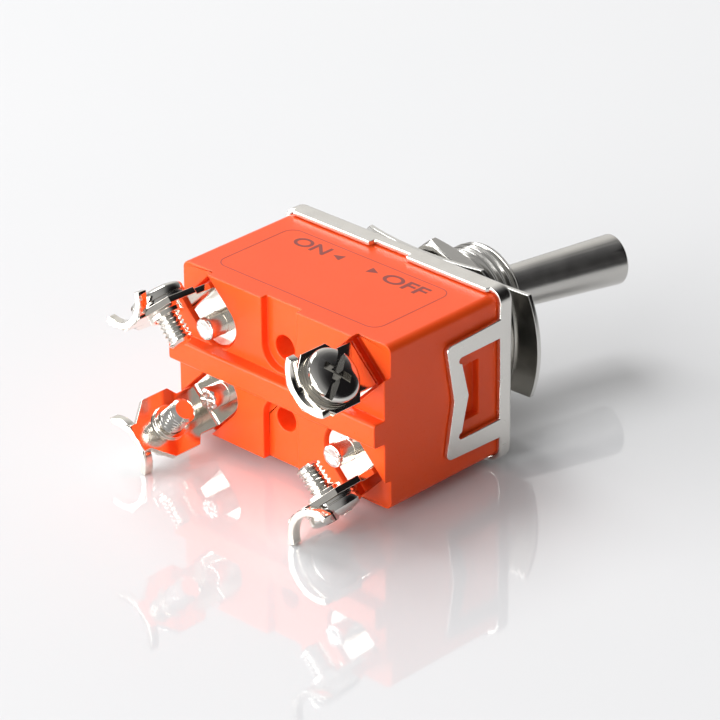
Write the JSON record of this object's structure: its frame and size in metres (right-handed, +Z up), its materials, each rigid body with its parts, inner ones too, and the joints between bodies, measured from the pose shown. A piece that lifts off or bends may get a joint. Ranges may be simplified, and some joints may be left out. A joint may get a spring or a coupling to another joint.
{
  "type": "panel toggle switch",
  "caption": "Panel toggle switch: a steel lever in a threaded bushing rocks contacts in a moulded body with screw terminals.",
  "frame": {"origin": "on the bushing axis, in the front face of the metal frame", "axes": "-Y out along the bushing towards the lever's side, +Y back to the terminals, +X along the body towards the ON side, +Z up across its two poles"},
  "size_m": [0.0348, 0.0629, 0.0236],
  "materials": {
    "housing": "orange moulded thermoset, satin gloss",
    "frame": "nickel-plated sheet steel, bright",
    "bushing": "nickel-plated, turned and threaded",
    "pin": "plain ground steel",
    "insulator": "pressed fibre sheet",
    "nut": "nickel-plated",
    "washer": "nickel-plated spring steel",
    "plate": "nickel-plated sheet",
    "lever": "nickel-plated, smooth",
    "carrier": "moulded",
    "plunger": "plain brass",
    "spring": "spring wire",
    "contact": "copper alloy strip",
    "terminal": "nickel-plated strip",
    "screw": "nickel-plated",
    "rivet": "nickel-plated"
  },
  "bodies": {
    "switch_body": {"housing": "housing", "frame": "frame", "bushing": "bushing", "pivot_pin": "pin", "insulator": "insulator", "rear_nut": "nut", "bowed_washer": "washer", "indicator_plate": "plate", "common_strip_upper": "contact", "common_strip_lower": "contact", "fixed_contact_upper": "contact", "fixed_contact_lower": "contact", "terminal_on_upper": "terminal", "terminal_on_lower": "terminal", "terminal_off_upper": "terminal", "terminal_off_lower": "terminal", "rivet_on_upper": "rivet", "rivet_on_lower": "rivet", "rivet_off_upper": "rivet", "rivet_off_lower": "rivet"},
    "lever": {"lever": "lever", "plunger_carrier": "carrier", "spring_upper": "spring", "spring_lower": "spring"},
    "plunger_upper": {"plunger_upper": "plunger"},
    "plunger_lower": {"plunger_lower": "plunger"},
    "rocker_upper": {"rocker_upper": "contact"},
    "rocker_lower": {"rocker_lower": "contact"},
    "front_nut": {"front_nut": "nut"},
    "screw_on_upper": {"screw_on_upper": "screw"},
    "screw_on_lower": {"screw_on_lower": "screw"},
    "screw_off_upper": {"screw_off_upper": "screw"},
    "screw_off_lower": {"screw_off_lower": "screw"}
  },
  "joints": [
    {"name": "lever_toggle", "type": "hinge", "parent": "switch_body", "child": "lever", "pos_m": [0, -0.008, 0], "axis": [0, 0, 1], "range_deg": [0, 30]},
    {"name": "rocker_upper_tilt", "type": "hinge", "parent": "switch_body", "child": "rocker_upper", "pos_m": [0, 0.0117, 0.0046], "axis": [0, 0, 1], "range_deg": [-12, 0]},
    {"name": "rocker_lower_tilt", "type": "hinge", "parent": "switch_body", "child": "rocker_lower", "pos_m": [0, 0.0117, -0.0046], "axis": [0, 0, 1], "range_deg": [-12, 0]},
    {"name": "plunger_upper_slide", "type": "slide", "parent": "lever", "child": "plunger_upper", "axis": [0.2588, 0.9659, 0], "range_m": [0, 0.0008], "stiffness_N_per_m": 1500, "springref_m": 0.0008, "deforming": ["spring_upper"]},
    {"name": "plunger_lower_slide", "type": "slide", "parent": "lever", "child": "plunger_lower", "axis": [0.2588, 0.9659, 0], "range_m": [0, 0.0008], "stiffness_N_per_m": 1500, "springref_m": 0.0008, "deforming": ["spring_lower"]},
    {"name": "front_nut_slide", "type": "slide", "parent": "switch_body", "child": "front_nut", "axis": [0, -1, 0], "range_m": [0, 0.005]},
    {"name": "screw_on_upper_slide", "type": "slide", "parent": "switch_body", "child": "screw_on_upper", "axis": [0.7067, -0.0349, 0.7067], "range_m": [0, 0.003]},
    {"name": "screw_on_lower_slide", "type": "slide", "parent": "switch_body", "child": "screw_on_lower", "axis": [0.7067, -0.0349, -0.7067], "range_m": [0, 0.003]},
    {"name": "screw_off_upper_slide", "type": "slide", "parent": "switch_body", "child": "screw_off_upper", "axis": [-0.7067, -0.0349, 0.7067], "range_m": [0, 0.003]},
    {"name": "screw_off_lower_slide", "type": "slide", "parent": "switch_body", "child": "screw_off_lower", "axis": [-0.7067, -0.0349, -0.7067], "range_m": [0, 0.003]}
  ],
  "couplings": [
    {"joint": "rocker_upper_tilt", "follows": "lever_toggle", "ratio": -0.4},
    {"joint": "rocker_lower_tilt", "follows": "lever_toggle", "ratio": -0.4}
  ]
}
